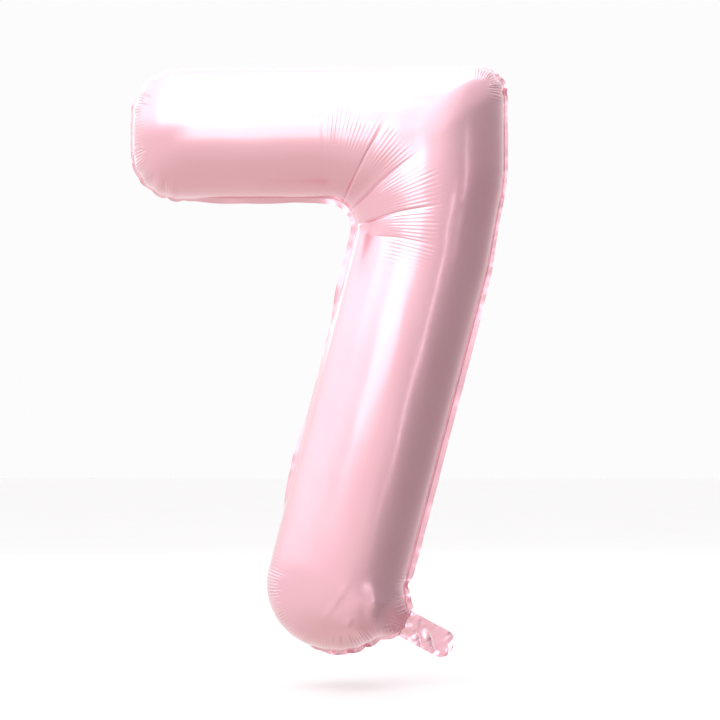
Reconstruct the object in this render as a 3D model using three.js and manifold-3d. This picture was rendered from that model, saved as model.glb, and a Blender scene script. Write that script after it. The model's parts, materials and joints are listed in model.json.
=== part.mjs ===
// A foil number balloon in the shape of a 7, inflated, in millimetres.
// +Z is up, the front panel faces -Y, and the origin is the throat of the filling neck, where a ribbon
// is tied. Two metallised film panels are heat-sealed all round, which leaves a flat seam band outside the
// gas space. A flat tail carries the filling mouth. Two thin valve films lie between the panels, from the
// tail into the gas space, and the gas presses them shut.
// The films bend where the tail folds, and rigid solids can't, so each of the four films is two solids,
// one on each side of the fold line.
import * as THREE from "three";
import { mergeVertices } from "three/addons/utils/BufferGeometryUtils.js";
import Module from "manifold-3d";

// The figure, measured over the seam band.
const overallWidth = 568;
const figureHeight = 874;
const armHeight = 204;
const stemWidth = 214;
const stemLean = 13.6; // degrees from upright
const armEndRadius = 76;
const shoulderRadius = 46; // the outer corner of the 7
const flankRadius = 320; // where the right edge turns into the leaning stem
const flankDrop = 195; // from the top to that turn
const innerRadius = 40; // the inner corner of the 7
const footRadius = 100;
const shortestEnd = 6; // the least straight edge between a round end's two corners

// The films and the seam.
const seamBand = 9;
const panelFilm = 0.8; // stands in for a film of about 0.04 mm
const valveFilm = 0.4;
const clearance = 0.3; // between neighbouring solids
const depth = 188; // front to back, when inflated
const cornerSwell = 0.06; // the share of depth that the figure gains where arm and stem meet

// The neck. Bearings are in degrees, seen from the front, from the right-hand horizontal.
const neckBearing = -35; // from the centre of the round foot to the throat
const neckReach = 5; // from the foot's edge to the throat
const funnelLength = 62; // over which the neck widens into the gas space
const funnelWidth = 104;
const funnelDepth = 92;

// The tail.
const tailBearing = -28;
const tailSeam = 6.4; // the flat seam along each side of the valve's channel
const tailLength = 74;
const tailEndRadius = 17;
const foldOffset = 9; // from the throat to the fold line
const foldRoom = 3.4; // each side of the fold line, so that the tail can turn 120 degrees either way
const valveWidth = 27;
const valveReach = 105; // from the fold line into the gas space
const valveShort = 17; // from the tail's end to the valve films

// How finely curves are cut.
const facetsAcross = 13; // odd, so that a flat facet runs along the crest
const endSteps = 9;
const armSteps = 5;
const fanSteps = 5;
const shoulderSteps = 5;
const flankSteps = 2;
const stemSteps = 6;
const funnelSteps = 5;
const tailEndSteps = 8;

const radians = THREE.MathUtils.degToRad;
const panelBack = -clearance / 2; // the front panel's inner face, where it is sealed
const pastMiddle = 2 * panelFilm; // behind it, so that a cut goes right through
const wasm = await Module();
wasm.setup();

// A closed geometry as a manifold-3d solid.
function solid(geometry) {
  const bare = geometry.clone();
  bare.deleteAttribute("normal");
  bare.deleteAttribute("uv");
  const merged = mergeVertices(bare, 1e-4);
  return new wasm.Manifold(
    new wasm.Mesh({
      numProp: 3,
      vertProperties: merged.attributes.position.array,
      triVerts: new Uint32Array(merged.index.array),
    }),
  );
}

function geometryOf(made) {
  const cut = made.getMesh();
  const geometry = new THREE.BufferGeometry();
  geometry.setAttribute("position", new THREE.BufferAttribute(cut.vertProperties, 3));
  geometry.setIndex(new THREE.BufferAttribute(cut.triVerts, 1));
  return geometry.toNonIndexed();
}

// A plate with that outline in the XZ plane, between two depths.
function plate(outline, front, back) {
  const shape = new THREE.Shape(outline.map((p) => new THREE.Vector2(p.x, p.y)));
  const made = new THREE.ExtrudeGeometry(shape, { depth: back - front, bevelEnabled: false });
  made.rotateX(Math.PI / 2); // the outline's y becomes z, and it is extruded towards -Y
  made.translate(0, back, 0);
  return solid(made);
}

// ---------- the figure's outline ----------

// Directions in the XZ plane: down the stem, and from its left edge to its right one.
const down = new THREE.Vector2(-Math.sin(radians(stemLean)), -Math.cos(radians(stemLean)));
const across = new THREE.Vector2(-down.y, down.x);
const up = new THREE.Vector2(0, 1);
const halfStem = stemWidth / 2;
const footRound = Math.min(footRadius, (stemWidth - shortestEnd) / 2);
const armRound = Math.min(armEndRadius, (armHeight - shortestEnd) / 2);

// The centre of the foot's round end. The neck leaves it towards the throat, at the origin.
const neckRun = halfStem + neckReach;
const footCentre = new THREE.Vector2(-neckRun, 0).rotateAround(new THREE.Vector2(), radians(neckBearing));

// The figure's corners and their radii, counter-clockwise as the figure is seen from the front.
// Each side moves inwards by the inset, and the round corners keep their centres.
function figureCorners(inset) {
  const foot = footCentre.clone().addScaledVector(down, halfStem);
  const top = foot.y + figureHeight;
  const axisAt = (z) => footCentre.x + ((z - footCentre.y) * down.x) / down.y;
  const right = axisAt(top - flankDrop) + halfStem / across.x;
  const sharp = [
    [new THREE.Vector2(right - overallWidth, top - armHeight), armRound],
    [new THREE.Vector2(axisAt(top - armHeight) - halfStem / across.x, top - armHeight), -innerRadius],
    [foot.clone().addScaledVector(across, -halfStem), footRound],
    [foot.clone().addScaledVector(across, halfStem), footRound],
    [new THREE.Vector2(right, top - flankDrop), flankRadius],
    [new THREE.Vector2(right, top), shoulderRadius],
    [new THREE.Vector2(right - overallWidth, top), armRound],
  ];
  return insetCorners(
    sharp.map(([at, radius]) => ({ at, radius })),
    inset,
  );
}

// Moves the sides of a counter-clockwise outline inwards. A negative radius marks an inner corner.
function insetCorners(corners, inset) {
  const count = corners.length;
  const sides = corners.map(({ at }, i) => {
    const way = corners[(i + 1) % count].at.clone().sub(at).normalize();
    return { way, from: at.clone().addScaledVector(new THREE.Vector2(-way.y, way.x), inset) };
  });
  return corners.map(({ radius }, i) => {
    const before = sides[(i + count - 1) % count];
    const after = sides[i];
    const reach = after.from.clone().sub(before.from).cross(after.way) / before.way.cross(after.way);
    return { at: before.from.clone().addScaledVector(before.way, reach), radius: radius - inset };
  });
}

// The points of a corner's arc, in an outline's own order.
function cornerArc(corners, i, steps) {
  const { at, radius } = corners[i];
  const count = corners.length;
  const inward = at.clone().sub(corners[(i + count - 1) % count].at).normalize();
  const outward = corners[(i + 1) % count].at.clone().sub(at).normalize();
  const turn = Math.atan2(inward.cross(outward), inward.dot(outward));
  const start = at.clone().addScaledVector(inward, -Math.abs(radius * Math.tan(turn / 2)));
  const centre = start.clone().addScaledVector(new THREE.Vector2(-inward.y, inward.x), radius);
  return steppedTurn(start, centre, turn, steps);
}

function steppedTurn(start, centre, turn, steps) {
  return Array.from({ length: steps + 1 }, (_, k) => start.clone().rotateAround(centre, (turn * k) / steps));
}

// The points after the last one of a list, in even steps to the next point.
function lineTo(points, next, steps) {
  const last = points[points.length - 1];
  return Array.from({ length: steps }, (_, k) => last.clone().lerp(next, (k + 1) / steps));
}

// The two seams that run from the arm's end to the foot: point k of one faces point k of the other.
function figureSeams(inset) {
  const corners = figureCorners(inset);
  const [armUnder, inner, footLeft] = [0, 1, 2].map((i) => cornerArc(corners, i, endSteps));
  const [footRight, armTop] = [3, 6].map((i) => cornerArc(corners, i, endSteps).reverse());
  const flank = cornerArc(corners, 4, flankSteps).reverse();
  const shoulder = cornerArc(corners, 5, shoulderSteps).reverse();
  const hub = inner[0].clone().addScaledVector(up, corners[1].radius);
  const abreast = hub.clone().addScaledVector(across, stemWidth - 2 * inset - corners[1].radius);

  const outer = [...armTop];
  outer.push(...lineTo(outer, new THREE.Vector2(hub.x, armTop.at(-1).y), armSteps));
  const fanStart = outer.length - 1;
  outer.push(...lineTo(outer, shoulder[0], fanSteps), ...shoulder.slice(1));
  outer.push(...lineTo(outer, flank[0], 2), ...flank.slice(1));
  outer.push(...lineTo(outer, abreast, 2));
  const fan = outer.slice(fanStart);
  outer.push(...lineTo(outer, footRight[0], stemSteps), ...footRight.slice(1));

  const fanned = fan.map((p) => hub.clone().add(p.clone().sub(hub).setLength(-corners[1].radius)));
  const nearer = [...armUnder];
  nearer.push(...lineTo(nearer, fanned[0], armSteps), ...fanned.slice(1));
  nearer.push(...lineTo(nearer, footLeft[0], stemSteps), ...footLeft.slice(1));
  return { nearer, outer };
}

// ---------- the inflated figure, as ribs across it from seam to seam ----------

// The front half of a skin that meets the seam at that inset and at y = base: a row of points for each rib.
function skinRows(inset, base) {
  const { nearer, outer } = figureSeams(inset);
  const ends = [nearer[0], nearer[nearer.length - 1]];
  const fanTurn = Math.PI / 2 + radians(stemLean);
  const endLength = halfStem - inset;
  const middleFacet = (Math.PI * (facetsAcross - 1)) / (2 * facetsAcross);
  const crest = (depth / 2 + panelBack - panelFilm) / Math.sin(middleFacet);
  return nearer.map((near, i) => {
    const far = outer[i];
    const middle = near.clone().lerp(far, 0.5);
    const fromEnd = Math.min(middle.x - ends[0].x, ends[1].clone().sub(middle).dot(down));
    const fullness = Math.sqrt(Math.max(0, 1 - Math.max(0, 1 - fromEnd / endLength) ** 2));
    const swing = Math.acos(Math.min(1, far.clone().sub(near).normalize().dot(up)));
    const swell = 1 + cornerSwell * Math.sin((Math.PI * swing) / fanTurn) ** 2;
    return Array.from({ length: facetsAcross + 1 }, (_, j) => {
      const angle = (Math.PI * j) / facetsAcross;
      const at = near.clone().lerp(far, (1 - Math.cos(angle)) / 2);
      return new THREE.Vector3(at.x, base - crest * fullness * swell * Math.sin(angle), at.y);
    });
  });
}

// The edge of a grid of points, all the way round.
function gridEdge(rows) {
  const last = rows.length - 1;
  const end = rows[0].length - 1;
  return [
    ...rows.slice(0, last).map((row) => row[0]),
    ...rows[last].slice(0, end),
    ...rows.slice(1).reverse().map((row) => row[end]),
    ...rows[0].slice(1).reverse(),
  ];
}

// Collects the faces of one closed body and turns it into a solid.
class Faces {
  positions = [];

  triangle(a, b, c) {
    this.positions.push(...a.toArray(), ...b.toArray(), ...c.toArray());
  }

  quad(a, b, c, d) {
    this.triangle(a, b, c);
    this.triangle(a, c, d);
  }

  // A grid that faces -Y, or +Y when it is turned.
  grid(rows, turned = false) {
    for (let i = 0; i + 1 < rows.length; i++)
      for (let j = 0; j + 1 < rows[i].length; j++) {
        const corners = [rows[i][j], rows[i + 1][j], rows[i + 1][j + 1], rows[i][j + 1]];
        this.quad(...(turned ? corners.reverse() : corners));
      }
    return this;
  }

  // The strip between two closed loops of as many points.
  strip(from, to) {
    from.forEach((point, i) => {
      const next = (i + 1) % from.length;
      this.quad(point, to[i], to[next], from[next]);
    });
    return this;
  }

  solid() {
    const geometry = new THREE.BufferGeometry();
    geometry.setAttribute("position", new THREE.Float32BufferAttribute(this.positions, 3));
    return solid(geometry);
  }
}

const flattened = (points, y) => points.map((p) => new THREE.Vector3(p.x, y, p.z));

// A solid between a grid of points and a plane behind it.
function bodyBehind(rows, plane) {
  const behind = rows.map((row) => flattened(row, plane));
  return new Faces().grid(rows).strip(gridEdge(rows), gridEdge(behind)).grid(behind, true).solid();
}

// The gas space's front half. It runs past the middle plane, so that it cuts cleanly.
function figureGas() {
  return bodyBehind(gasRows(), pastMiddle);
}

function gasRows() {
  return skinRows(seamBand + panelFilm, panelBack);
}

// The figure's front half, with its seam band, as one shell of the film's thickness.
function figureShell() {
  const skin = skinRows(seamBand, panelBack - panelFilm);
  const gas = gasRows();
  const rim = flattened(gridEdge(skinRows(0, panelBack)), panelBack);
  const bandFront = flattened(rim, panelBack - panelFilm);
  return new Faces()
    .grid(skin)
    .strip(gridEdge(skin), bandFront)
    .strip(bandFront, rim)
    .strip(rim, gridEdge(gas))
    .grid(gas, true)
    .solid();
}

// ---------- the neck and the tail, drawn along the tail's own direction ----------

const tailWay = new THREE.Vector2(Math.cos(radians(tailBearing)), Math.sin(radians(tailBearing)));
const tailSide = new THREE.Vector2(-tailWay.y, tailWay.x);
const neckEnd = foldOffset - foldRoom;
const tailStart = foldOffset + foldRoom;
const tailEnd = foldOffset + tailLength;
const channelRise = valveFilm + clearance; // the room for one valve film, from the panel's inner face
const channelWidth = valveWidth + 2 * clearance;
const throatWidth = channelWidth + 2 * (clearance + panelFilm);
const tailWidth = channelWidth + 2 * (panelFilm + tailSeam);

// The point at a distance along the tail from the throat, and to its upper side.
function onTail(along, aside) {
  return new THREE.Vector2().addScaledVector(tailWay, along).addScaledVector(tailSide, aside);
}

function strip(from, to, width) {
  return [onTail(from, -width / 2), onTail(to, -width / 2), onTail(to, width / 2), onTail(from, width / 2)];
}

// The neck's front half, from a flat throat to where it opens into the figure. Its gas side lies a wall in.
function funnel(wall, end) {
  const stations = [{ along: end, share: 0 }];
  for (let k = 0; k <= funnelSteps; k++)
    stations.push({ along: (-funnelLength * k) / funnelSteps, share: k / funnelSteps });
  const rows = stations.map(({ along, share }) => {
    const eased = THREE.MathUtils.smoothstep(share, 0, 1);
    const width = THREE.MathUtils.lerp(throatWidth, funnelWidth, share) - 2 * wall;
    const rise = THREE.MathUtils.lerp(channelRise + panelFilm, funnelDepth / 2, eased) - wall;
    return Array.from({ length: facetsAcross + 1 }, (_, j) => {
      const angle = (Math.PI * j) / facetsAcross;
      const at = onTail(along, (Math.cos(angle) * width) / 2);
      const bulge = THREE.MathUtils.lerp(Math.min(1, 4 * Math.sin(angle)), Math.sin(angle), eased);
      return new THREE.Vector3(at.x, panelBack - rise * bulge, at.y);
    });
  });
  return bodyBehind(rows, wall ? pastMiddle : panelBack);
}

// The seam band on both sides of the neck, wide enough inside the figure to meet its own band.
function neckBand() {
  const inside = -funnelLength * 0.8;
  const half = tailWidth / 2;
  const wide = funnelWidth / 2 + seamBand;
  const upper = [onTail(neckEnd, half), onTail(0, half), onTail(inside, wide)];
  const lower = [onTail(inside, -wide), onTail(0, -half), onTail(neckEnd, -half)];
  return plate([...upper, ...lower], panelBack - panelFilm, panelBack);
}

// The tail's outline beyond the fold, with a round end.
function tailOutline() {
  const half = tailWidth / 2;
  const corners = [
    { at: onTail(tailStart, -half), radius: 0 },
    { at: onTail(tailEnd, -half), radius: tailEndRadius },
    { at: onTail(tailEnd, half), radius: tailEndRadius },
    { at: onTail(tailStart, half), radius: 0 },
  ];
  const ends = [1, 2].map((i) => cornerArc(corners, i, tailEndSteps));
  return [corners[0].at, ...ends[0], ...ends[1], corners[3].at];
}

// ---------- the pieces, made as front halves; the back ones are their mirror images ----------

// A film panel on the figure's side of the fold: the inflated half, its seam band and its half of the neck.
function panel() {
  const neckGas = funnel(panelFilm, neckEnd + panelFilm);
  const neck = funnel(0, neckEnd).add(neckBand()).subtract(figureGas());
  return figureShell().add(neck).subtract(neckGas);
}

// The same film beyond the fold: flat seams along both sides, and between them a channel for the valve film,
// which runs out through the tail's end as the filling mouth.
function panelTail() {
  const front = panelBack - channelRise - panelFilm;
  const whole = plate(tailOutline(), front, panelBack);
  const raised = whole.intersect(plate(strip(0, 2 * tailEnd, channelWidth + 2 * panelFilm), -depth, depth));
  const channel = plate(strip(0, 2 * tailEnd, channelWidth), panelBack - channelRise, depth);
  return plate(tailOutline(), panelBack - panelFilm, panelBack).add(raised).subtract(channel);
}

function valvePlate(from, to) {
  return plate(strip(from, to, valveWidth), panelBack - valveFilm, panelBack);
}

// ---------- the balloon ----------

const foil = new THREE.MeshStandardMaterial({ color: 0xf3b4c6, roughness: 0.25, metalness: 0.85 });
const valveFoil = new THREE.MeshStandardMaterial({ color: 0xe9e6e2, roughness: 0.35, metalness: 0 });

const pieces = [
  ["panel", panel(), foil],
  ["panel_tail", panelTail(), foil],
  ["valve_film", valvePlate(foldOffset - valveReach, neckEnd), valveFoil],
  ["valve_film_tail", valvePlate(tailStart, tailEnd - valveShort), valveFoil],
];

const balloon = new THREE.Group();
balloon.name = "foil_number_balloon";
for (const [name, front, material] of pieces) {
  for (const [side, made] of [
    ["front", front],
    ["back", front.mirror([0, 1, 0])],
  ]) {
    const mesh = new THREE.Mesh(geometryOf(made), material);
    mesh.name = `${side}_${name}`;
    balloon.add(mesh);
  }
}

export default balloon;
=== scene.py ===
import json
import math

import bpy
import numpy as np
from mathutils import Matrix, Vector


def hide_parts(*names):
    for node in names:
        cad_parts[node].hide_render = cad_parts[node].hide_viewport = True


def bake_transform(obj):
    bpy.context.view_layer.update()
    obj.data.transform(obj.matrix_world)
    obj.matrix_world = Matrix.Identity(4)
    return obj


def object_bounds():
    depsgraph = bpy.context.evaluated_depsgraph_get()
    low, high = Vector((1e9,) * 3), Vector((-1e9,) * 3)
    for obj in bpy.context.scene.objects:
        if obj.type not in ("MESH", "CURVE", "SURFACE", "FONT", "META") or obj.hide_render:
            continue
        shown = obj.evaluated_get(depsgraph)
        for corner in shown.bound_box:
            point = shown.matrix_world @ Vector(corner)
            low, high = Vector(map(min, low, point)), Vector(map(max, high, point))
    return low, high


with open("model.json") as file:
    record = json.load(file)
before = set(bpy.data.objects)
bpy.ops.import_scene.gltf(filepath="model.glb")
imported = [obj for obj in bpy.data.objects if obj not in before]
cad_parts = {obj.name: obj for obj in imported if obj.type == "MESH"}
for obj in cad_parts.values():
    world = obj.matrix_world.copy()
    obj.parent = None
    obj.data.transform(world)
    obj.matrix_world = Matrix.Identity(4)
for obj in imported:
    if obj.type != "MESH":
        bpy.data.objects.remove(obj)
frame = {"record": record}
cadBox = [list(corner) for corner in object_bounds()]
bpy.ops.object.select_all(action="DESELECT")
scene = bpy.context.scene
scene.view_settings.view_transform = "Standard"  # product colours as they are, with no film curve
print("frame loaded, box", cadBox)

# The camera: angles in degrees round the point it aims at, in metres.
camera = {"azimuth": 2.5, "elevation": -1.5, "distance": 3.4, "lens": 113.5, "aim": (-0.064, 0.0, 0.3915)}


def aimed(thing, place, target):
    way = Vector(target) - Vector(place)
    thing.location = place
    thing.rotation_euler = way.to_track_quat("-Z", "Y").to_euler()


def addCamera():
    a, e = math.radians(camera["azimuth"]), math.radians(camera["elevation"])
    back = Vector((math.sin(a) * math.cos(e), -math.cos(a) * math.cos(e), math.sin(e)))
    seen = bpy.data.objects.new("camera", bpy.data.cameras.new("camera"))
    scene.collection.objects.link(seen)
    seen.data.lens = camera["lens"]
    aimed(seen, Vector(camera["aim"]) + back * camera["distance"], camera["aim"])
    scene.camera = seen


addCamera()

# The figure's outline, in metres in the XZ plane, and the neck's turn in degrees.
figure = {
    "armHeight": 0.204, "stemWidth": 0.214, "stemLean": 14.6, "armRound": 0.076, "shoulderRound": 0.046,
    "flankRound": 0.320, "flankDrop": 0.195, "innerRound": 0.040, "footRound": 0.100, "height": 0.874,
    "seamBand": 0.009, "seamInset": 0.0045, "leftInset": 0.0012, "rightInset": 0.0078,
    "depth": 0.188, "cornerSwell": 0.06, "footShift": 0.0045, "neckTurn": -35,
}
lean = math.radians(figure["stemLean"])
down = np.array([-math.sin(lean), -math.cos(lean)])  # down the stem
across = np.array([-down[1], down[0]])  # from the stem's left edge to its right one
halfStem = figure["stemWidth"] / 2
hinge = frame["record"]["behaviour"]["joints"][0]
tailSide = np.array([hinge["axis"][0], hinge["axis"][2]])
tailWay = np.array([tailSide[1], -tailSide[0]])  # away from the figure, along the tail


def turned(points, angle):
    c, s = math.cos(angle), math.sin(angle)
    return np.stack([points[..., 0] * c - points[..., 1] * s, points[..., 0] * s + points[..., 1] * c], -1)


def cross(a, b):
    return a[0] * b[1] - a[1] * b[0]


# The corners with their radii, counter-clockwise from the arm's lower left. An inner corner's is negative.
def figureCorners(inset):
    low, high = cadBox
    right, top = high[0], high[2]
    foot = top - figure["height"]  # the lowest point of the round foot
    footCentreZ = foot + halfStem * -down[1]
    neckRun = math.hypot(footCentreZ, footCentreZ / math.tan(math.radians(-figure["neckTurn"])))
    centre = turned(np.array([-neckRun, 0.0]), math.radians(figure["neckTurn"])) - [figure["footShift"], 0]

    def axisAt(z):
        return centre[0] + (z - centre[1]) * down[0] / down[1]

    end = centre + down * halfStem
    armLow = top - figure["armHeight"]
    sharp = [
        ((low[0], armLow), figure["armRound"]),
        ((axisAt(armLow) - halfStem / across[0], armLow), -figure["innerRound"]),
        (end - across * halfStem, figure["footRound"]),
        (end + across * halfStem, figure["footRound"]),
        ((right, top - figure["flankDrop"]), figure["flankRound"]),
        ((right, top), figure["shoulderRound"]),
        ((low[0], top), figure["armRound"]),
    ]
    at = [np.array(place, float) for place, _ in sharp]
    count = len(at)
    spans = [at[(i + 1) % count] - at[i] for i in range(count)]
    ways = [span / np.linalg.norm(span) for span in spans]
    left, away = figure["leftInset"], figure["rightInset"]  # the film hides the seam on the left, not on the right
    insets = [inset, left, left, away, inset, inset, inset]
    sides = [at[i] + insets[i] * np.array([-ways[i][1], ways[i][0]]) for i in range(count)]
    moved = []
    for i in range(count):
        reach = cross(sides[i] - sides[i - 1], ways[i]) / cross(ways[i - 1], ways[i])
        moved.append((sides[i - 1] + ways[i - 1] * reach, sharp[i][1] - inset))
    return moved, centre


def cornerArc(corners, i, steps):
    at, radius = corners[i]
    inward = at - corners[i - 1][0]
    outward = corners[(i + 1) % len(corners)][0] - at
    inward, outward = inward / np.linalg.norm(inward), outward / np.linalg.norm(outward)
    turn = math.atan2(cross(inward, outward), inward @ outward)
    start = at - inward * abs(radius * math.tan(turn / 2))
    middle = start + np.array([-inward[1], inward[0]]) * radius
    return np.array([middle + turned(start - middle, turn * k / steps) for k in range(steps + 1)])


def lengthAlong(points):
    return np.concatenate([[0], np.cumsum(np.linalg.norm(np.diff(points, axis=0), axis=1))])


# Points at the given distances along a line of points.
def atLengths(points, run, wanted):
    return np.stack([np.interp(wanted, run, points[:, k]) for k in range(2)], 1)


def shares(count, power=1.0):
    return (np.arange(count + 1) / count) ** power


# How many ribs each stretch has, how many points each rib, and where the beak of the seam reaches.
ribs = {
    "end": 26, "arm": 13, "fan": 68, "stem": 42, "footAbove": 4, "footTail": 10, "footBelow": 17, "across": 20,
    "fanReach": 0.135, "fanEven": 0.3, "beak": 0.018, "tailHalf": 0.021,
}


# The two seams, from the arm's end to the foot: point k of one faces point k of the other.
def seamRails():
    corners, footCentre = figureCorners(figure["seamInset"])
    fine = 240
    armUnder, inner, footLeft = [cornerArc(corners, i, fine) for i in (0, 1, 2)]
    footRight, flank, shoulder, armTop = [cornerArc(corners, i, fine)[::-1] for i in (3, 4, 5, 6)]
    innerRadius = -corners[1][1]
    hub = inner[0] - np.array([0, innerRadius])
    abreast = hub + across * (figure["stemWidth"] - figure["rightInset"] - figure["leftInset"] + innerRadius)

    # the fan: sampled so that its pleats and the shoulder's puckers both get enough ribs
    line = np.vstack([[hub[0], armTop[-1][1]], shoulder, flank, abreast[None]])
    run = lengthAlong(line)
    dense = np.linspace(0, run[-1], 4000)
    points = atLengths(line, run, dense)
    bearing = np.arctan2(points[:, 1] - hub[1], points[:, 0] - hub[0])
    weight = (bearing[0] - bearing) * ribs["fanReach"] + dense * ribs["fanEven"]
    wanted = np.linspace(0, weight[-1], ribs["fan"] + 1)
    outerFan = atLengths(points, weight, wanted)
    spoke = outerFan - hub
    nearerFan = hub + spoke / np.linalg.norm(spoke, axis=1)[:, None] * innerRadius

    endPick = np.linspace(0, fine, ribs["end"] + 1).astype(int)
    stemShares = shares(ribs["stem"], 1.35)[1:, None]
    armShares = 1 - shares(ribs["arm"], 1.2)[::-1][1:, None]
    a = lengthAlong(footRight)
    aside = footRight @ tailSide
    upper, lower = [np.interp(-s * ribs["tailHalf"], -aside, a) for s in (1, -1)]
    footRuns = np.concatenate([
        np.linspace(0, upper, ribs["footAbove"] + 1)[1:],
        np.linspace(upper, lower, ribs["footTail"] + 1)[1:],
        np.linspace(lower, a[-1], ribs["footBelow"] + 1)[1:],
    ])
    footCount = len(footRuns)
    leftRun = lengthAlong(footLeft)
    leftPick = atLengths(footLeft, leftRun, np.linspace(0, leftRun[-1], footCount + 1)[1:])
    outer = np.vstack([
        armTop[endPick],
        armTop[-1] + (outerFan[0] - armTop[-1]) * armShares[:-1],
        outerFan,
        outerFan[-1] + (footRight[0] - outerFan[-1]) * stemShares,
        atLengths(footRight, a, footRuns),
    ])
    nearer = np.vstack([
        armUnder[endPick],
        armUnder[-1] + (nearerFan[0] - armUnder[-1]) * armShares[:-1],
        nearerFan,
        nearerFan[-1] + (footLeft[0] - nearerFan[-1]) * stemShares,
        leftPick,
    ])
    tailFirst = len(outer) - footCount - 1 + ribs["footAbove"]
    return nearer, outer, hub, footCentre, tailFirst


nearer, outer, hub, footCentre, tailFirst = seamRails()
print("rails", len(nearer), "hub", hub, "foot", footCentre)


def smooth(x, low, high):
    t = np.clip((x - low) / (high - low), 0, 1)
    return t * t * (3 - 2 * t)


def alongAside(points):
    return points @ tailWay, points @ tailSide


# The seam runs out to the throat where the neck leaves the foot.
def beaked(points):
    along, aside = alongAside(points)
    near = (1 - smooth(np.abs(aside), 0.012, 0.040)) * smooth(along, -0.06, -0.02)
    return points + near[:, None] * tailWay * ribs["beak"]


# The inflated front half is made of ribs from seam to seam.
neck = {
    "flat": 0.42, "reach": 0.048, "pinch": 0.0012, "domePower": 2.3, "domeRound": 0.47, "start": 0.045, "end": 0.085,
}
ends = {"reach": 1.2, "power": 2.6}  # how the round ends rise to the full depth


def ribHeights(rows, turnShare):
    crest = figure["depth"] / 2 - 0.0004
    middle = (nearer + outer) / 2
    fromEnd = np.minimum(middle[:, 0] - nearer[0][0], (nearer[-1] - middle) @ down)
    reach = ends["reach"] * (halfStem - figure["seamInset"])
    full = np.sqrt(np.clip(1 - np.clip(1 - fromEnd / reach, 0, None) ** ends["power"], 0, 1))
    way = (outer - nearer) / np.linalg.norm(outer - nearer, axis=1)[:, None]
    swing = np.arccos(np.clip(way[:, 1], -1, 1))
    swell = 1 + figure["cornerSwell"] * np.sin(np.pi * swing / (math.pi / 2 + lean)) ** 2
    height = crest * (full * swell)[:, None] * np.sin(np.pi * turnShare)[None]
    along, aside = alongAside(rows)
    # near the throat the dome of the foot runs out to the seam's beak
    spoke = rows - footCentre
    away = np.linalg.norm(spoke, axis=-1)
    onFoot = ribs["footBelow"] + ribs["footTail"] + ribs["footAbove"] + 6
    rim = beaked(outer)[-onFoot:] - footCentre
    rimAngle = np.arctan2(rim @ tailSide, rim @ tailWay)
    order = np.argsort(rimAngle)
    spokeAngle = np.arctan2(spoke @ tailSide, spoke @ tailWay)
    edge = np.interp(spokeAngle, rimAngle[order], np.linalg.norm(rim, axis=1)[order])
    dome = crest * np.clip(1 - (away / edge) ** neck["domePower"], 0, 1) ** neck["domeRound"]
    throat = np.hypot(along, aside)
    dome *= neck["flat"] + (1 - neck["flat"]) * smooth(throat, 0, neck["reach"])
    share = 1 - smooth(throat, neck["start"], neck["end"])
    height = height * (1 - share) + dome * share
    height[:, [0, -1]] = 0
    height[[0, -1]] = 0
    return height


def baseGrid():
    turnShare = np.arange(ribs["across"] + 1) / ribs["across"]
    t = (1 - np.cos(np.pi * turnShare)) / 2
    far = beaked(outer)
    rows = nearer[:, None] * (1 - t)[None, :, None] + far[:, None] * t[None, :, None]
    return rows, ribHeights(rows, turnShare)


tail = {"start": 0.003, "end": 0.083, "round": 0.017, "rows": 18}
apart = {"skin": 0.00015, "tail": 0.00025}  # from the middle plane, so the films don't share a surface


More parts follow.
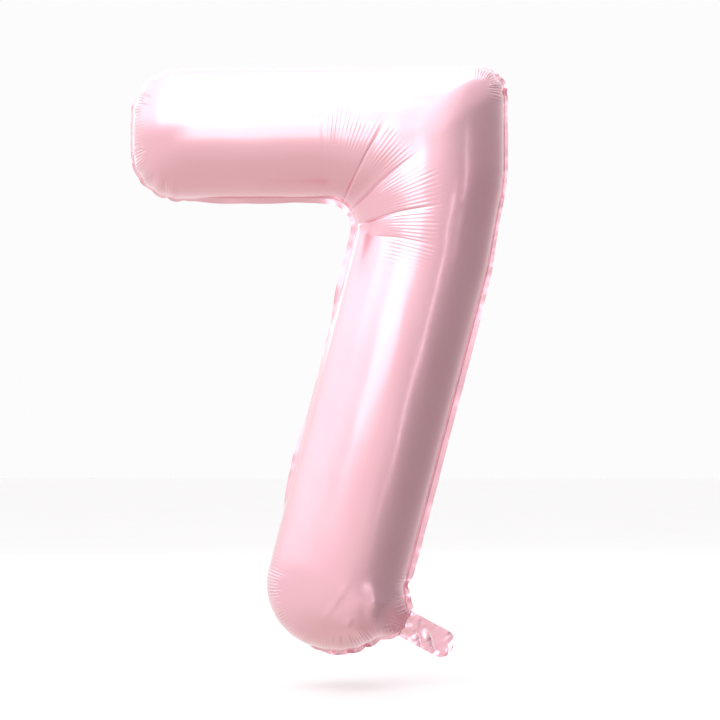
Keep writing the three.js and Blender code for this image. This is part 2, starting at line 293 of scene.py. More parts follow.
# One film as a mesh: the skin, the seam band round it and the tail, on one side of the middle plane.
def filmMesh(name, side):
    rows, height = baseGrid()
    count, wide = rows.shape[:2]
    points, band, faces = [], [], []
    index = np.arange(count * wide).reshape(count, wide)
    points.extend(np.stack([rows[..., 0], side * (apart["skin"] + height), rows[..., 1]], -1).reshape(-1, 3))
    band.extend([0.0] * (count * wide))
    for i in range(count - 1):
        for j in range(wide - 1):
            faces.append((index[i, j], index[i + 1, j], index[i + 1, j + 1], index[i, j + 1]))
    loop = list(index[:-1, 0]) + list(index[-1, :-1]) + list(index[1:, -1][::-1]) + list(index[0, 1:][::-1])
    seam = np.array([points[k] for k in loop])[:, [0, 2]]
    along = np.roll(seam, -1, 0) - np.roll(seam, 1, 0)
    outwards = np.stack([along[:, 1], -along[:, 0]], 1) / np.linalg.norm(along, axis=1)[:, None]
    tailRange = range(tailFirst, tailFirst + ribs["footTail"] + 1)
    tailIn = {int(index[k, -1]): k - tailFirst for k in tailRange}
    rings = [loop]
    for step in (0.5, 1.0):
        ring = []
        for place, k in enumerate(loop):
            at = seam[place] + outwards[place] * figure["seamBand"] * step
            if k in tailIn:
                aside = ribs["tailHalf"] * (1 - 2 * tailIn[k] / ribs["footTail"])
                edge = tailWay * tail["start"] + tailSide * aside
                at = seam[place] * (1 - step) + edge * step
            points.append(np.array([at[0], side * apart["skin"], at[1]]))
            band.append(step)
            ring.append(len(points) - 1)
        rings.append(ring)
    for inside, outside in zip(rings, rings[1:]):
        for k in range(len(inside)):
            n = (k + 1) % len(inside)
            faces.append((inside[k], outside[k], outside[n], inside[n]))
    # the tail's rows
    first = [rings[-1][loop.index(k)] for k in sorted(tailIn, key=tailIn.get)]
    last = first
    for r in range(1, tail["rows"] + 1):
        u = r / tail["rows"]
        at = tail["start"] + (tail["end"] - tail["start"]) * (1.25 * u - 0.25 * u ** 3)  # rows close up at the end
        inEnd = max(0.0, at - (tail["end"] - tail["round"]))
        half = ribs["tailHalf"] - tail["round"] + math.sqrt(max(0.0, tail["round"] ** 2 - inEnd ** 2))
        row = []
        for j in range(len(first)):
            aside = half * (1 - 2 * j / (len(first) - 1))
            p = tailWay * at + tailSide * aside
            points.append(np.array([p[0], side * apart["tail"], p[1]]))
            band.append(2.0)
            row.append(len(points) - 1)
        for j in range(len(first) - 1):
            faces.append((last[j], row[j], row[j + 1], last[j + 1]))
        last = row
    if side > 0:
        faces = [f[::-1] for f in faces]
    mesh = bpy.data.meshes.new(name)
    mesh.from_pydata([tuple(p) for p in points], [], [tuple(int(k) for k in f) for f in faces])
    mesh.update()
    store(mesh, "band", band)
    film = bpy.data.objects.new(name, mesh)
    scene.collection.objects.link(film)
    return film, loop, seam


# Keeps the seam's edge sharp, then smooths the mesh by two subdivisions.
def subdivided(film, loop, levels):
    mesh = film.data
    inLoop = set(int(k) for k in loop)
    nextTo = {int(a): int(b) for a, b in zip(loop, loop[1:] + loop[:1])}
    crease = mesh.attributes.new("crease_edge", "FLOAT", "EDGE")
    for edge in mesh.edges:
        a, b = edge.vertices
        if a in inLoop and b in inLoop and (nextTo[a] == b or nextTo[b] == a):
            crease.data[edge.index].value = 1.0
    finish = film.modifiers.new("smooth film", "SUBSURF")
    finish.levels = finish.render_levels = levels
    applyModifier(film, finish)


def applyModifier(thing, modifier):
    bpy.ops.object.select_all(action="DESELECT")
    thing.select_set(True)
    bpy.context.view_layer.objects.active = thing
    bpy.ops.object.modifier_apply(modifier=modifier.name)
    thing.select_set(False)


def coordinates(mesh):
    flat = np.empty(len(mesh.vertices) * 3)
    mesh.vertices.foreach_get("co", flat)
    return flat.reshape(-1, 3)


def setCoordinates(mesh, points):
    mesh.vertices.foreach_set("co", points.astype(np.float32).ravel())
    mesh.update()


def vertexNormals(mesh):
    flat = np.empty(len(mesh.vertices) * 3, np.float32)
    mesh.vertex_normals.foreach_get("vector", flat)
    return flat.reshape(-1, 3).astype(float)


def store(mesh, name, values):
    made = mesh.attributes.new(name, "FLOAT", "POINT")
    made.data.foreach_set("value", np.array(values, np.float32))


# Distance to the closed seam, and how far round it the nearest point lies.
def seamPlace(points, seam):
    closed = np.vstack([seam, seam[:1]])
    run = lengthAlong(closed)
    a, b = closed[:-1], closed[1:]
    way = b - a
    square = (way ** 2).sum(1)
    best = np.full(len(points), 1e9)
    place = np.zeros(len(points))
    for k in range(len(a)):
        rel = points - a[k]
        t = np.clip(rel @ way[k] / max(square[k], 1e-12), 0, 1)
        d = np.hypot(*(rel - t[:, None] * way[k]).T)
        nearerHere = d < best
        best = np.where(nearerHere, d, best)
        place = np.where(nearerHere, run[k] + t * math.sqrt(square[k]), place)
    return best, place, run


# The film relaxes under its gas while the seam is held: stiff in tension, slack in compression.
gas = {
    "pressure": 1.2, "stiffness": 60, "slack": 0.1, "bending": 0.6, "damping": 12, "quality": 8, "mass": 0.12,
    "air": 4, "frames": 24, "most": 0.008,
}


def inflated(film, held):
    mesh = film.data
    start = coordinates(mesh)
    group = film.vertex_groups.new(name="held")
    group.add([int(k) for k in held], 1.0, "REPLACE")
    cloth = film.modifiers.new("gas", "CLOTH")
    s = cloth.settings
    s.quality, s.mass, s.air_damping = gas["quality"], gas["mass"], gas["air"]
    s.tension_stiffness, s.shear_stiffness = gas["stiffness"], gas["stiffness"] / 2
    s.compression_stiffness, s.bending_stiffness = gas["slack"], gas["bending"]
    s.tension_damping = s.compression_damping = s.shear_damping = gas["damping"]
    s.use_pressure, s.uniform_pressure_force = True, gas["pressure"]
    s.effector_weights.gravity = 0
    s.vertex_group_mass = "held"
    cloth.collision_settings.use_collision = False
    cloth.point_cache.frame_start, cloth.point_cache.frame_end = 1, gas["frames"]
    scene.frame_start, scene.frame_end = 1, gas["frames"]
    for moment in range(1, gas["frames"] + 1):
        scene.frame_set(moment)
    evaluated = film.evaluated_get(bpy.context.evaluated_depsgraph_get())
    moved = coordinates(evaluated.data) - start
    film.modifiers.remove(cloth)
    film.vertex_groups.clear()
    scene.frame_set(1)
    size = np.linalg.norm(moved, axis=1)
    cap = np.minimum(1, gas["most"] / np.maximum(size, 1e-9))
    setCoordinates(mesh, start + moved * cap[:, None])
    print("gas: moved at most", round(float(size.max()), 4), "on average", round(float(size.mean()), 4))


# Creases and fine pleats round the inner corner: bearings in degrees from its centre, sizes in metres.
creases = {
    "bearings": (90, 58, 36.5, 8, -11.5), "strengths": (0.35, 1.0, 1.0, 1.0, 0.4), "inner": 0.042, "outer": 0.173,
    "lobes": (0.55, 1.0, 1.0, 0.6), "depth": 0.0019, "width": 0.0014, "lobe": 0.0018,
    "pitch": 0.0056, "pleat": 0.00026, "reach": 0.14,
}
puckers = {"height": 0.0008, "scallopPitch": 0.026, "reach": 0.028}


def hashed(numbers, seed):
    return np.modf(np.abs(np.sin(numbers * 12.9898 + seed * 78.233)) * 43758.5453)[0]


# Smooth noise of one number, with values from -1 to 1.
def waver(x, seed):
    cell = np.floor(x)
    t = x - cell
    t = t * t * (3 - 2 * t)
    return (hashed(cell, seed) * (1 - t) + hashed(cell + 1, seed) * t) * 2 - 1


# Smooth noise of two numbers.
def waver2(x, y, seed):
    cx, cy = np.floor(x), np.floor(y)
    tx, ty = x - cx, y - cy
    tx, ty = tx * tx * (3 - 2 * tx), ty * ty * (3 - 2 * ty)

    def corner(i, j):
        return hashed((cx + i) * 1.37 + (cy + j) * 57.31, seed)

    low = corner(0, 0) * (1 - tx) + corner(1, 0) * tx
    high = corner(0, 1) * (1 - tx) + corner(1, 1) * tx
    return (low * (1 - ty) + high * ty) * 2 - 1


# Where a point lies round the inner corner: p runs with the tube, r away from the corner.
def fanPlace(points):
    rel = points - hub
    bearing = np.degrees(np.arctan2(rel[:, 1], rel[:, 0]))
    radius = np.hypot(*rel.T)
    inArm = rel[:, 0] < 0
    stemRun = rel @ down
    inStem = ~inArm & (stemRun > 0)
    span = math.radians(90 + figure["stemLean"])
    p = np.radians(90 - bearing) * creases["reach"]
    p = np.where(inArm, rel[:, 0], p)
    p = np.where(inStem, span * creases["reach"] + stemRun, p)
    r = np.where(inArm, rel[:, 1], np.where(inStem, rel @ across, radius))
    degrees = 90 - np.degrees(p / creases["reach"])
    return p, r, degrees


def cornerCreases(plan, seed):
    p, r, degrees = fanPlace(plan)
    lift = np.zeros(len(plan))
    marks = np.array(creases["bearings"], float) + (hashed(np.arange(5.0), seed) - 0.5) * (2.5 if seed > 1 else 0)
    for bearing, strength in zip(marks, creases["strengths"]):
        bend = 3.2 * (1 - smooth(r, 0.05, 0.12)) * (1 if bearing < 30 else 0.6)
        off = (degrees - bearing + bend) / 57.3 * r
        first = creases["inner"] + 0.03 * (1 - strength)
        window = smooth(r, first, first + 0.010 + 0.05 * (1 - strength))
        window *= 1 - smooth(r, creases["outer"] - 0.045, creases["outer"] + 0.004)
        lift -= creases["depth"] * strength * window * np.exp(-np.abs(off / creases["width"]) ** 1.3)
    # the film bulges between two creases
    for high, low, share in zip(marks, marks[1:], creases["lobes"]):
        t = np.clip((high - degrees) / (high - low), 0, 1)
        window = smooth(r, 0.055, 0.11) * (1 - smooth(r, 0.13, 0.20))
        lift += creases["lobe"] * share * window * np.sin(np.pi * t)
    # fine pleats between the creases, each with its own length
    number = np.floor(p / creases["pitch"])
    start = 0.080 + 0.035 * hashed(number, seed + 3)
    stop = 0.148 + 0.022 * hashed(number, seed + 4)
    window = smooth(r, start, start + 0.028) * (1 - smooth(r, stop, stop + 0.016))
    ends = smooth(degrees, -36, -20) * (1 - smooth(degrees, 91, 93))
    gap = 1 - 0.75 * np.exp(-((degrees - 64) / 3.0) ** 2) - 0.4 * np.exp(-((degrees - 16) / 4.0) ** 2)
    each = 0.55 + 0.45 * hashed(number, seed + 5)
    wave = np.cos(2 * np.pi * p / creases["pitch"])
    lift += creases["pleat"] * window * ends * gap * each * wave
    return lift


# Soft folds beside the neck: where each starts and ends from the foot's centre, its half width and its height.
neckFolds = (
    ((0.026, 0.012), (-0.028, -0.070), 0.0034, 0.0021),
    ((0.024, -0.046), (0.008, -0.076), 0.0036, 0.0018),
    ((0.012, -0.006), (-0.008, -0.056), 0.0120, -0.0016),
    ((0.052, 0.016), (0.060, -0.050), 0.0060, 0.0012),
    ((0.040, -0.022), (0.044, -0.062), 0.0080, -0.0012),
)


# How far points are from a line between two points, and what share of it they have passed.
def fromLine(points, start, end):
    way = end - start
    share = (points - start) @ way / (way @ way)
    foot = start + np.clip(share, 0, 1)[:, None] * way
    return np.hypot(*(points - foot).T), share


# The flange outside the seam: shares by which it narrows, angles of its fold in degrees, and heights in metres.
flange = {
    "scallop": 0.62, "straight": -0.10, "high": -0.42, "low": -0.35, "notch": -0.55, "fold": 68, "footFold": 16,
    "sway": 0.0030, "crinkle": 0.0005,
}


# How strongly each place on the seam is gathered: 1 on the round corners, little on the straights.
def gatherAt(seam, run):
    closed = np.vstack([seam[-1:], seam, seam[:1]])
    before = closed[1:-1] - closed[:-2]
    after = closed[2:] - closed[1:-1]
    turn = np.arctan2(before[:, 0] * after[:, 1] - before[:, 1] * after[:, 0], (before * after).sum(1))
    bend = turn / np.maximum(1e-4, (np.linalg.norm(before, axis=1) + np.linalg.norm(after, axis=1)) / 2)
    even = np.arange(0, run[-1], 0.002)
    value = np.interp(even, run[:-1], np.clip((bend - 2.0) / 7.0, 0, 1))
    reach = 9
    kernel = np.exp(-(np.arange(-3 * reach, 3 * reach + 1) / reach) ** 2)
    wide = np.concatenate([value[-60:], value, value[:60]])
    value = np.convolve(wide, kernel / kernel.sum(), "same")[60:-60]
    return even, np.clip(value * 1.25, 0, 1)


crinkles = {"broad": 0.0046, "small": 0.0014, "edge": 0.0028, "end": 0.004, "twist": 0.06, "pinch": 0.0011}


# The tail is creased along and across, and its edges and end curl. All four films share that shape.
def tailShape(along, aside):
    t = np.clip((along - 0.003) / 0.080, 0, 1)
    free = smooth(t, 0.06, 0.30)
    broad = np.abs(waver2((along + 0.7 * aside) / 0.019, (aside - 0.4 * along) / 0.024, 51))
    small = np.abs(waver2((along - 0.5 * aside) / 0.011, (aside + 0.5 * along) / 0.013, 52))
    ruffle = (0.5 - broad) * crinkles["broad"] + (0.5 - small) * crinkles["small"]
    curl = -crinkles["edge"] * (np.abs(aside) / 0.021) ** 2.4 * (0.6 + 0.4 * np.sin(7 * t))
    curl -= crinkles["end"] * smooth(t, 0.86, 1.0) ** 2
    twist = crinkles["twist"] * aside * smooth(t, 0.1, 1)
    pinch = crinkles["pinch"] * np.sin(aside / 0.0030) * smooth(t, 0, 0.06) * (1 - free)
    return free * (ruffle + curl + twist) + pinch


def detailed(film, seam, side, seed):
    mesh = film.data
    points = coordinates(mesh)
    normals = vertexNormals(mesh)
    band = np.empty(len(mesh.vertices), np.float32)
    mesh.attributes["band"].data.foreach_get("value", band)
    plan = points[:, [0, 2]]
    d, s, run = seamPlace(plan, seam)
    even, gather = gatherAt(seam, run)
    g = np.interp(s, even, gather)
    along, aside = alongAside(plan)
    throat = np.hypot(along, aside)
    skin = band < 0.01
    g = np.maximum(g, 0.9 * (1 - smooth(throat, 0.05, 0.10)) * (aside > 0))

    plainFoot = (1 - smooth(plan[:, 1], 0.16, 0.20)) * smooth(-plan[:, 0], 0.07, 0.10)
    # broad gathers beside the seam; the fine ones between them are in the film's own finish
    broad = np.cos(2 * np.pi * s / puckers["scallopPitch"])
    lift = puckers["height"] * (1 - 0.8 * plainFoot) * broad * g
    lift *= (1 - smooth(d, 0.004, puckers["reach"])) * smooth(d, -0.001, 0.001)
    lift += cornerCreases(plan, seed)

    # sharp little gathers that run into the throat
    turnAt = np.arctan2(aside, -along)
    pinch = np.cos(17 * turnAt + 1.6 * waver(turnAt * 2.5 + 9, seed + 20))
    pinch *= 0.5 + 0.5 * waver(turnAt * 4 + 5, seed + 21)
    lift += neck["pinch"] * pinch * smooth(throat, 0.002, 0.012) * (1 - smooth(throat, 0.014, 0.036))

    # soft folds beside the neck, and slow unevenness of the whole film
    for start, end, width, size in neckFolds:
        away, share = fromLine(plan, footCentre + np.array(start), footCentre + np.array(end))
        lift += size * np.exp(-(away / width) ** 2) * np.sin(np.pi * np.clip(share, 0, 1)) ** 2
    slow = waver2(plan[:, 0] / 0.055, plan[:, 1] / 0.13, seed + 7) * 0.0006
    slow += waver2(plan[:, 0] / 0.021, plan[:, 1] / 0.09, seed + 8) * 0.00022
    lift += slow * smooth(d, 0.004, 0.03)
    moved = points + normals * (lift * skin)[:, None]

    # the seam band: scalloped where it is gathered, lightly crinkled elsewhere
    inBand = (d < 0.02) & (band <= 1.01)
    q = np.clip(band, 0, 1)
    onSeam = np.stack([np.interp(s, run, np.append(seam[:, k], seam[0, k])) for k in range(2)], 1)
    fromSeam = plan - onSeam
    size = np.linalg.norm(fromSeam, axis=1)
    unit = fromSeam / np.maximum(size, 1e-6)[:, None]
    onBand = (q > 0.02) & inBand & (size > 1e-4)
    nearTail = 1 - smooth(np.abs(aside), 0.026, 0.040)
    nearTail = np.where(along > -0.05, nearTail, 0) * (throat < 0.06)
    scallop = (np.abs(np.cos(np.pi * s / puckers["scallopPitch"])) ** 0.7 - 0.75) * flange["scallop"]
    wide = 0.55 + 0.45 * waver(s / puckers["scallopPitch"] * 0.9 + 3, 46)
    high = smooth(plan[:, 1], 0.44, 0.60) * smooth(unit @ across, 0.3, 0.8)
    pull = g * (1 - 0.9 * plainFoot) * scallop * wide + flange["high"] * high
    pull += flange["straight"] * (1 - g) * (0.5 + 0.5 * waver(s / 0.021, 40))
    notch = flange["notch"] * np.exp(-(((throat - 0.058) / 0.009) ** 2)) * (aside > 0)
    low = flange["low"] * (1 - smooth(plan[:, 1], 0.0, 0.03)) * smooth(-unit[:, 1], 0.5, 0.9)
    low *= 1 - smooth(-plan[:, 0], 0.05, 0.12) * 0.4
    radial = size * (pull + notch + low) * (1 - nearTail)
    moved[:, [0, 2]] += unit * (radial * onBand)[:, None]
    # it is folded back nearly everywhere but along the stem's right edge, the inner corner and by the neck
    top = smooth(unit[:, 1], 0.4, 0.9)
    left = smooth(-(unit @ across), -0.25, 0.25) * (1 - smooth(plan[:, 1], 0.44, 0.52))
    left = left * (1 - 0.6 * np.exp(-((plan[:, 1] - 0.245) / 0.045) ** 2))
    armEnd = smooth(-plan[:, 0], 0.29, 0.36)
    under = smooth(-unit[:, 1], 0.6, 0.9) * (plan[:, 1] > 0.55) * smooth(-plan[:, 0], 0.10, 0.16)
    showing = smooth(-plan[:, 0], 0.14, 0.20) * (1 - smooth(-plan[:, 0], 0.26, 0.31))
    under = under * (0.80 + 0.20 * waver(s / 0.03, 45)) * (1 - 0.5 * showing)
    fold = np.clip(0.95 * top + left + 0.80 * armEnd + under, 0, 1) * np.radians(flange["fold"] + flange["footFold"] * plainFoot)
    moved[:, [0, 2]] -= unit * (size * (1 - np.cos(fold)) * onBand)[:, None]
    moved[:, 1] += size * np.sin(fold) * onBand
    sway = g * flange["sway"] * np.sin(2 * np.pi * s / puckers["scallopPitch"] + 0.8)
    sway += 0.0007 * waver(s / 0.013, 41) + 0.0010 * waver(s / 0.034, 42)
    crinkle = flange["crinkle"] * waver(s / 0.0058, 43) * (0.3 + 0.7 * smooth(waver(s / 0.09, 44), -0.2, 0.5))
    moved[:, 1] += q * (sway + crinkle) * (1 - nearTail) * inBand

    onTail = (band > 1.0) | ((along > 0.0) & (np.abs(aside) < 0.024) & (band > 0))
    moved[:, 1] += onTail * tailShape(along, aside)
    setCoordinates(mesh, moved)
    for polygon in mesh.polygons:
        polygon.use_smooth = True
    store(mesh, "seamRun", s)
    store(mesh, "seamFar", np.where(skin, d, -0.001))
    store(mesh, "crumpled", skin * (1 - smooth(throat, 0.018, 0.042)))
    store(mesh, "gather", g)
    mesh.update()


def film(name, side, seed):
    made, loop, seam = filmMesh(name, side)
    held = set(range(len(made.data.vertices))) - set(range(len(nearer) * (ribs["across"] + 1)))
    inflated(made, sorted(held | set(int(k) for k in loop)))
    subdivided(made, loop, 2)
    detailed(made, seam, side, seed)
    print(name, len(made.data.polygons), "faces")
    return made


def linear(hexColour):
    parts = [int(hexColour[k:k + 2], 16) / 255 for k in (1, 3, 5)]
    return tuple(c / 12.92 if c <= 0.04045 else ((c + 0.055) / 1.055) ** 2.4 for c in parts) + (1.0,)


def addNode(tree, kind, settings=None, links=None):
    node = tree.nodes.new(kind)
    for key, value in (settings or {}).items():
        if isinstance(key, str) and hasattr(node, key):
            setattr(node, key, value)
        else:
            node.inputs[key].default_value = value
    for key, source in (links or {}).items():
        tree.links.new(source, node.inputs[key])
    return node


def emptyMaterial(name):
    made = bpy.data.materials.new(name)
    made.use_nodes = True
    made.node_tree.nodes.clear()
    return made, made.node_tree


gentle = {"interpolation_type": "SMOOTHSTEP"}
foil = {
    "pink": "#F8C9D5", "rose": "#F2BAC8", "metallic": 0.92, "roughness": 0.26, "crumpledRoughness": 0.30,
    "coat": 0.8, "coatRoughness": 0.06, "waviness": 0.00007,
}


# Gathers beside the seam, in metres: each has its own length and strength, and some stretches have few.
gathers = {
    "pitch": 0.0054, "height": 0.00060, "spread": -0.022,
    "fade": {"From Min": 0.013, "From Max": 0.003, "To Min": 0.0, "To Max": 1.0},
    "rise": {"From Min": 0.0, "From Max": 0.004, "To Min": 0.0, "To Max": 1.0},
    "patches": {"From Min": 0.36, "From Max": 0.60, "To Min": 0.5, "To Max": 1.0},
    "own": {"noise_dimensions": "1D", "Scale": 150.0, "Detail": 0.0},
    "group": {"noise_dimensions": "1D", "Scale": 34.0, "Detail": 0.0},
}


# Metallised nylon film, printed pearl pink on its outside. The metal layer mirrors softly through a tinted,
# slightly rough print, and the clear film over it adds sharper glints.
def pearlFoil():
    made, tree = emptyMaterial("metallisedNylonFilm")
    place = addNode(tree, "ShaderNodeTexCoord").outputs["Object"]
    cloud = addNode(tree, "ShaderNodeTexNoise", {"Scale": 9.0, "Detail": 2.0}, {"Vector": place})
    tint = addNode(tree, "ShaderNodeMix", {"data_type": "RGBA"}, {"Factor": cloud.outputs["Fac"]})
    tint.inputs[6].default_value = linear(foil["pink"])
    tint.inputs[7].default_value = linear(foil["rose"])
    grain = addNode(tree, "ShaderNodeTexNoise", {"Scale": 90.0, "Detail": 1.0}, {"Vector": place})
    span = {"To Min": foil["roughness"] - 0.02, "To Max": foil["roughness"] + 0.02}
    rough = addNode(tree, "ShaderNodeMapRange", span, {"Value": grain.outputs["Fac"]})
    # crumpled film at the throat is duller
    crumpled = addNode(tree, "ShaderNodeAttribute", {"attribute_name": "crumpled"})
    dulled = {0: crumpled.outputs["Fac"], 2: rough.outputs[0]}
    dull = addNode(tree, "ShaderNodeMath", {"operation": "MULTIPLY_ADD", 1: foil["crumpledRoughness"]}, dulled)
    # fine gathers beside the seam: real ones are about 4 mm apart, these are coarser so that they show
    run = addNode(tree, "ShaderNodeAttribute", {"attribute_name": "seamRun"})
    far = addNode(tree, "ShaderNodeAttribute", {"attribute_name": "seamFar"})
    gather = addNode(tree, "ShaderNodeAttribute", {"attribute_name": "gather"})
    own = addNode(tree, "ShaderNodeTexNoise", gathers["own"], {"W": run.outputs["Fac"]})
    group = addNode(tree, "ShaderNodeTexNoise", gathers["group"], {"W": run.outputs["Fac"]})
    perMetre = 2 * math.pi / gathers["pitch"]
    phase = addNode(tree, "ShaderNodeMath", {"operation": "MULTIPLY", 1: perMetre}, {0: run.outputs["Fac"]})
    wave = addNode(tree, "ShaderNodeMath", {"operation": "SINE"}, {0: phase.outputs[0]})
    ownLength = {0: own.outputs["Fac"], 2: far.outputs["Fac"]}
    longer = addNode(tree, "ShaderNodeMath", {"operation": "MULTIPLY_ADD", 1: gathers["spread"]}, ownLength)
    fade = addNode(tree, "ShaderNodeMapRange", {**gentle, **gathers["fade"]}, {"Value": longer.outputs[0]})
    rise = addNode(tree, "ShaderNodeMapRange", {**gentle, **gathers["rise"]}, {"Value": far.outputs["Fac"]})
    patchy = addNode(tree, "ShaderNodeMapRange", gathers["patches"], {"Value": group.outputs["Fac"]})
    shown = addNode(tree, "ShaderNodeMath", {"operation": "MULTIPLY"}, {0: fade.outputs[0], 1: rise.outputs[0]})
    placed = addNode(tree, "ShaderNodeMath", {"operation": "MULTIPLY"}, {0: shown.outputs[0], 1: patchy.outputs[0]})
    gathered = {0: placed.outputs[0], 1: gather.outputs["Fac"]}
    strength = addNode(tree, "ShaderNodeMath", {"operation": "MULTIPLY"}, gathered)
    ridge = addNode(tree, "ShaderNodeMath", {"operation": "MULTIPLY"}, {0: wave.outputs[0], 1: strength.outputs[0]})
    skin = addNode(tree, "ShaderNodeTexNoise", {"Scale": 14.0, "Detail": 1.0, "Roughness": 0.4}, {"Vector": place})
    high = addNode(tree, "ShaderNodeMath", {"operation": "MULTIPLY_ADD", 1: gathers["height"]}, {0: ridge.outputs[0]})
    slight = addNode(tree, "ShaderNodeMath", {"operation": "MULTIPLY", 1: foil["waviness"]}, {0: skin.outputs["Fac"]})
    tree.links.new(slight.outputs[0], high.inputs[2])
    bump = addNode(tree, "ShaderNodeBump", {"Strength": 1.0, "Distance": 1.0}, {"Height": high.outputs[0]})
    surface = addNode(
        tree, "ShaderNodeBsdfPrincipled",
        {"Metallic": foil["metallic"], "Coat Weight": foil["coat"], "Coat Roughness": foil["coatRoughness"]},
        {"Base Color": tint.outputs[2], "Roughness": dull.outputs[0], "Normal": bump.outputs[0]},
    )
    addNode(tree, "ShaderNodeOutputMaterial", {}, {"Surface": surface.outputs[0]})
    return made


# Plain polyethylene film of the filling valve: milky, soft and slightly see-through.
def valveFilm():
    made, tree = emptyMaterial("polyethyleneFilm")
    place = addNode(tree, "ShaderNodeTexCoord").outputs["Object"]
    cloud = addNode(tree, "ShaderNodeTexNoise", {"Scale": 60.0, "Detail": 3.0}, {"Vector": place})
    tint = addNode(tree, "ShaderNodeMix", {"data_type": "RGBA"}, {"Factor": cloud.outputs["Fac"]})
    tint.inputs[6].default_value = linear("#F1EEEA")
    tint.inputs[7].default_value = linear("#E2DDD8")
    wrinkle = addNode(tree, "ShaderNodeTexNoise", {"Scale": 160.0, "Detail": 3.0}, {"Vector": place})
    bump = addNode(tree, "ShaderNodeBump", {"Strength": 0.4, "Distance": 0.0004}, {"Height": wrinkle.outputs["Fac"]})
    surface = addNode(
        tree, "ShaderNodeBsdfPrincipled",
        {"Roughness": 0.32, "IOR": 1.51, "Alpha": 0.82},
        {"Base Color": tint.outputs[2], "Normal": bump.outputs[0]},
    )
    addNode(tree, "ShaderNodeOutputMaterial", {}, {"Surface": surface.outputs[0]})
    return made


foilMaterial = pearlFoil()
valveMaterial = valveFilm()


def addFilms():
    for name, side, seed, nodes in (
        ("front_film", -1, 1, ("front_panel", "front_panel_tail")),
        ("back_film", 1, 2, ("back_panel", "back_panel_tail")),
    ):
        made = film(name, side, seed)
        made.data.materials.append(foilMaterial)
        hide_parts(*nodes)
        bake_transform(made)


valve = {"apart": 0.0001, "half": 0.0135, "inside": 0.096, "end": 0.075, "rows": 60, "across": 10}


# A valve film: a thin strip from inside the gas space to near the tail's end.
def addValveFilm(name, side, nodes):
    points, faces = [], []
    for i in range(valve["rows"] + 1):
        along = -valve["inside"] + (valve["inside"] + valve["end"]) * i / valve["rows"]
        for j in range(valve["across"] + 1):
            aside = valve["half"] * (2 * j / valve["across"] - 1)
            p = tailWay * along + tailSide * aside
            depth = side * valve["apart"]
            if along > 0:
                depth += float(tailShape(np.array([along]), np.array([aside]))[0])
            points.append((p[0], depth, p[1]))
    wide = valve["across"] + 1
    for i in range(valve["rows"]):
        for j in range(valve["across"]):
            quad = (i * wide + j, i * wide + j + 1, (i + 1) * wide + j + 1, (i + 1) * wide + j)
            faces.append(quad if side > 0 else quad[::-1])
    mesh = bpy.data.meshes.new(name)
    mesh.from_pydata(points, [], faces)
    mesh.update()
    made = bpy.data.objects.new(name, mesh)
    scene.collection.objects.link(made)
    for polygon in mesh.polygons:
        polygon.use_smooth = True
    mesh.materials.append(valveMaterial)
    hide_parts(*nodes)
    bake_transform(made)


addFilms()
addValveFilm("front_valve_strip", -1, ("front_valve_film", "front_valve_film_tail"))
addValveFilm("back_valve_strip", 1, ("back_valve_film", "back_valve_film_tail"))
print("pieces made")


floorPlan = {"size": 24, "drop": 0.045}  # the balloon floats just above it


def addFloor():
    bpy.ops.object.select_all(action="DESELECT")
    bpy.ops.mesh.primitive_plane_add(size=floorPlan["size"], location=(0, 0, cadBox[0][2] - floorPlan["drop"]))
    floor = bpy.context.object
    floor.name = "floor"
    floor.visible_glossy = False  # the foil mirrors the room, and not a bare white floor
    made, tree = emptyMaterial("paintedFloor")
    place = addNode(tree, "ShaderNodeTexCoord").outputs["Object"]
    grain = addNode(tree, "ShaderNodeTexNoise", {"Scale": 3.0, "Detail": 4.0}, {"Vector": place})
    tint = addNode(tree, "ShaderNodeMix", {"data_type": "RGBA"}, {"Factor": grain.outputs["Fac"]})
    tint.inputs[6].default_value = linear("#FAFAFA")
    tint.inputs[7].default_value = linear("#F6F6F6")
    surface = addNode(tree, "ShaderNodeBsdfPrincipled", {"Roughness": 0.8}, {"Base Color": tint.outputs[2]})
    addNode(tree, "ShaderNodeOutputMaterial", {}, {"Surface": surface.outputs[0]})
    floor.data.materials.append(made)


def addSoftbox(name, place, target, size, power, colour):
    light = bpy.data.lights.new(name, "AREA")
    light.shape = "RECTANGLE"
    light.size, light.size_y = size
    light.energy = power
    light.color = linear(colour)[:3]
    made = bpy.data.objects.new(name, light)
    scene.collection.objects.link(made)
    made.visible_camera = False
    aimed(made, place, target)


# Each softbox: where it stands, what it faces, its size, its power in watts and its colour.
softboxes = {
    "key": ((-1.5, -1.7, 2.3), (-0.1, 0, 0.5), (2.6, 2.2), 20, "#FFFFFF"),
    "top": ((-0.2, 0.1, 2.4), (-0.1, 0, 0.5), (2.4, 1.6), 8, "#FFFFFF"),
    "front": ((-0.45, -1.35, 0.76), (-0.45, 0, 0.74), (0.80, 0.75), 1.6, "#FFFFFF"),
    "streakHigh": ((2.1, -1.5, 0.7), (0, 0, 0.5), (0.05, 0.7), 0.5, "#F4F6FF"),
    "streakLow": ((1.7, -2.2, 0.1), (-0.05, 0, 0.2), (0.06, 0.8), 0.7, "#F4F6FF"),
    "back": ((-0.9, 2.6, 1.6), (-0.1, 0, 0.4), (2.0, 1.6), 12, "#FFFFFF"),
}
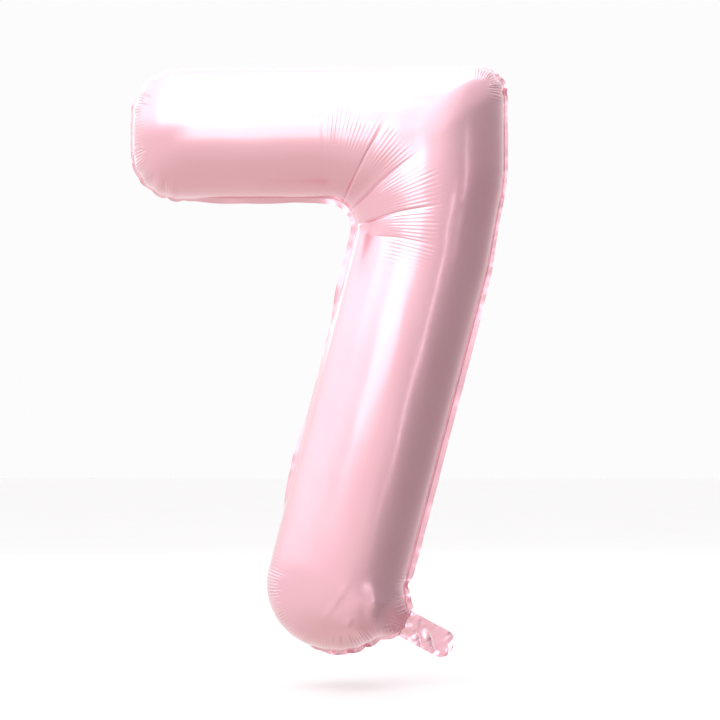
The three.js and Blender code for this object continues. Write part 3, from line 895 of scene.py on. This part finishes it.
# The room as the foil mirrors it: how each direction brightens or dims it.
room = {
    "level": 0.97, "ceiling": 0.75, "low": "#FFF4EC", "top": "#FFFAFB", "plain": "#FDFCFD",
    "right": {"From Min": 0.15, "From Max": 1.0, "To Min": 0.0, "To Max": 0.60},
    "high": {"From Min": 0.0, "From Max": 0.6, "To Min": 1.0, "To Max": 0.5},
    "under": {"From Min": -0.25, "From Max": -0.95, "To Min": 0.0, "To Max": 0.20},
    "over": {"From Min": 0.04, "From Max": 0.34, "To Min": 0.0, "To Max": 1.0},
    "leftward": {"From Min": 0.55, "From Max": -0.05, "To Min": 0.0, "To Max": 1.0},
    "behind": {"From Min": 0.35, "From Max": 0.85, "To Min": 1.0, "To Max": 0.40},
    "warmth": {"From Min": -0.9, "From Max": 0.3},
}


def addLight():
    for name, (place, target, size, power, colour) in softboxes.items():
        addSoftbox(name, place, target, size, power, colour)
    world = bpy.data.worlds.new("room")
    scene.world = world
    world.use_nodes = True
    tree = world.node_tree
    tree.nodes.clear()
    direction = addNode(tree, "ShaderNodeTexCoord").outputs["Generated"]
    split = addNode(tree, "ShaderNodeSeparateXYZ", {}, {"Vector": direction})
    # what the foil mirrors: a bright ceiling to the left, a darker side to the right and a duller floor
    right = addNode(tree, "ShaderNodeMapRange", {**gentle, **room["right"]}, {"Value": split.outputs["X"]})
    high = addNode(tree, "ShaderNodeMapRange", {**gentle, **room["high"]}, {"Value": split.outputs["Z"]})
    under = addNode(tree, "ShaderNodeMapRange", {**gentle, **room["under"]}, {"Value": split.outputs["Z"]})
    over = addNode(tree, "ShaderNodeMapRange", {**gentle, **room["over"]}, {"Value": split.outputs["Z"]})
    leftward = addNode(tree, "ShaderNodeMapRange", {**gentle, **room["leftward"]}, {"Value": split.outputs["X"]})
    behind = addNode(tree, "ShaderNodeMapRange", {**gentle, **room["behind"]}, {"Value": split.outputs["Y"]})
    front = addNode(tree, "ShaderNodeMath", {"operation": "MULTIPLY"}, {0: over.outputs[0], 1: leftward.outputs[0]})
    ceiling = addNode(tree, "ShaderNodeMath", {"operation": "MULTIPLY"}, {0: front.outputs[0], 1: behind.outputs[0]})
    side = addNode(tree, "ShaderNodeMath", {"operation": "MULTIPLY"}, {0: right.outputs[0], 1: high.outputs[0]})
    dimmed = addNode(tree, "ShaderNodeMath", {"operation": "ADD"}, {0: side.outputs[0], 1: under.outputs[0]})
    level = addNode(tree, "ShaderNodeMath", {"operation": "SUBTRACT", 0: room["level"]}, {1: dimmed.outputs[0]})
    lit = {0: ceiling.outputs[0], 2: level.outputs[0]}
    ramp = addNode(tree, "ShaderNodeMath", {"operation": "MULTIPLY_ADD", 1: room["ceiling"]}, lit)
    mirrored = addNode(tree, "ShaderNodeLightPath").outputs["Is Glossy Ray"]
    shade = addNode(tree, "ShaderNodeMix", {"data_type": "FLOAT", 2: 1.0}, {"Factor": mirrored, 3: ramp.outputs[0]})
    height = addNode(tree, "ShaderNodeMapRange", room["warmth"], {"Value": split.outputs["Z"]})
    glow = addNode(tree, "ShaderNodeMix", {"data_type": "RGBA"}, {"Factor": height.outputs[0]})
    glow.inputs[6].default_value = linear(room["low"])
    glow.inputs[7].default_value = linear(room["top"])
    plain = {"data_type": "RGBA", 6: linear(room["plain"])}
    tinted = addNode(tree, "ShaderNodeMix", plain, {"Factor": mirrored, 7: glow.outputs[2]})
    back = addNode(tree, "ShaderNodeBackground", {}, {"Color": tinted.outputs[2], "Strength": shade.outputs[0]})
    addNode(tree, "ShaderNodeOutputWorld", {}, {"Surface": back.outputs[0]})


addFloor()
addLight()
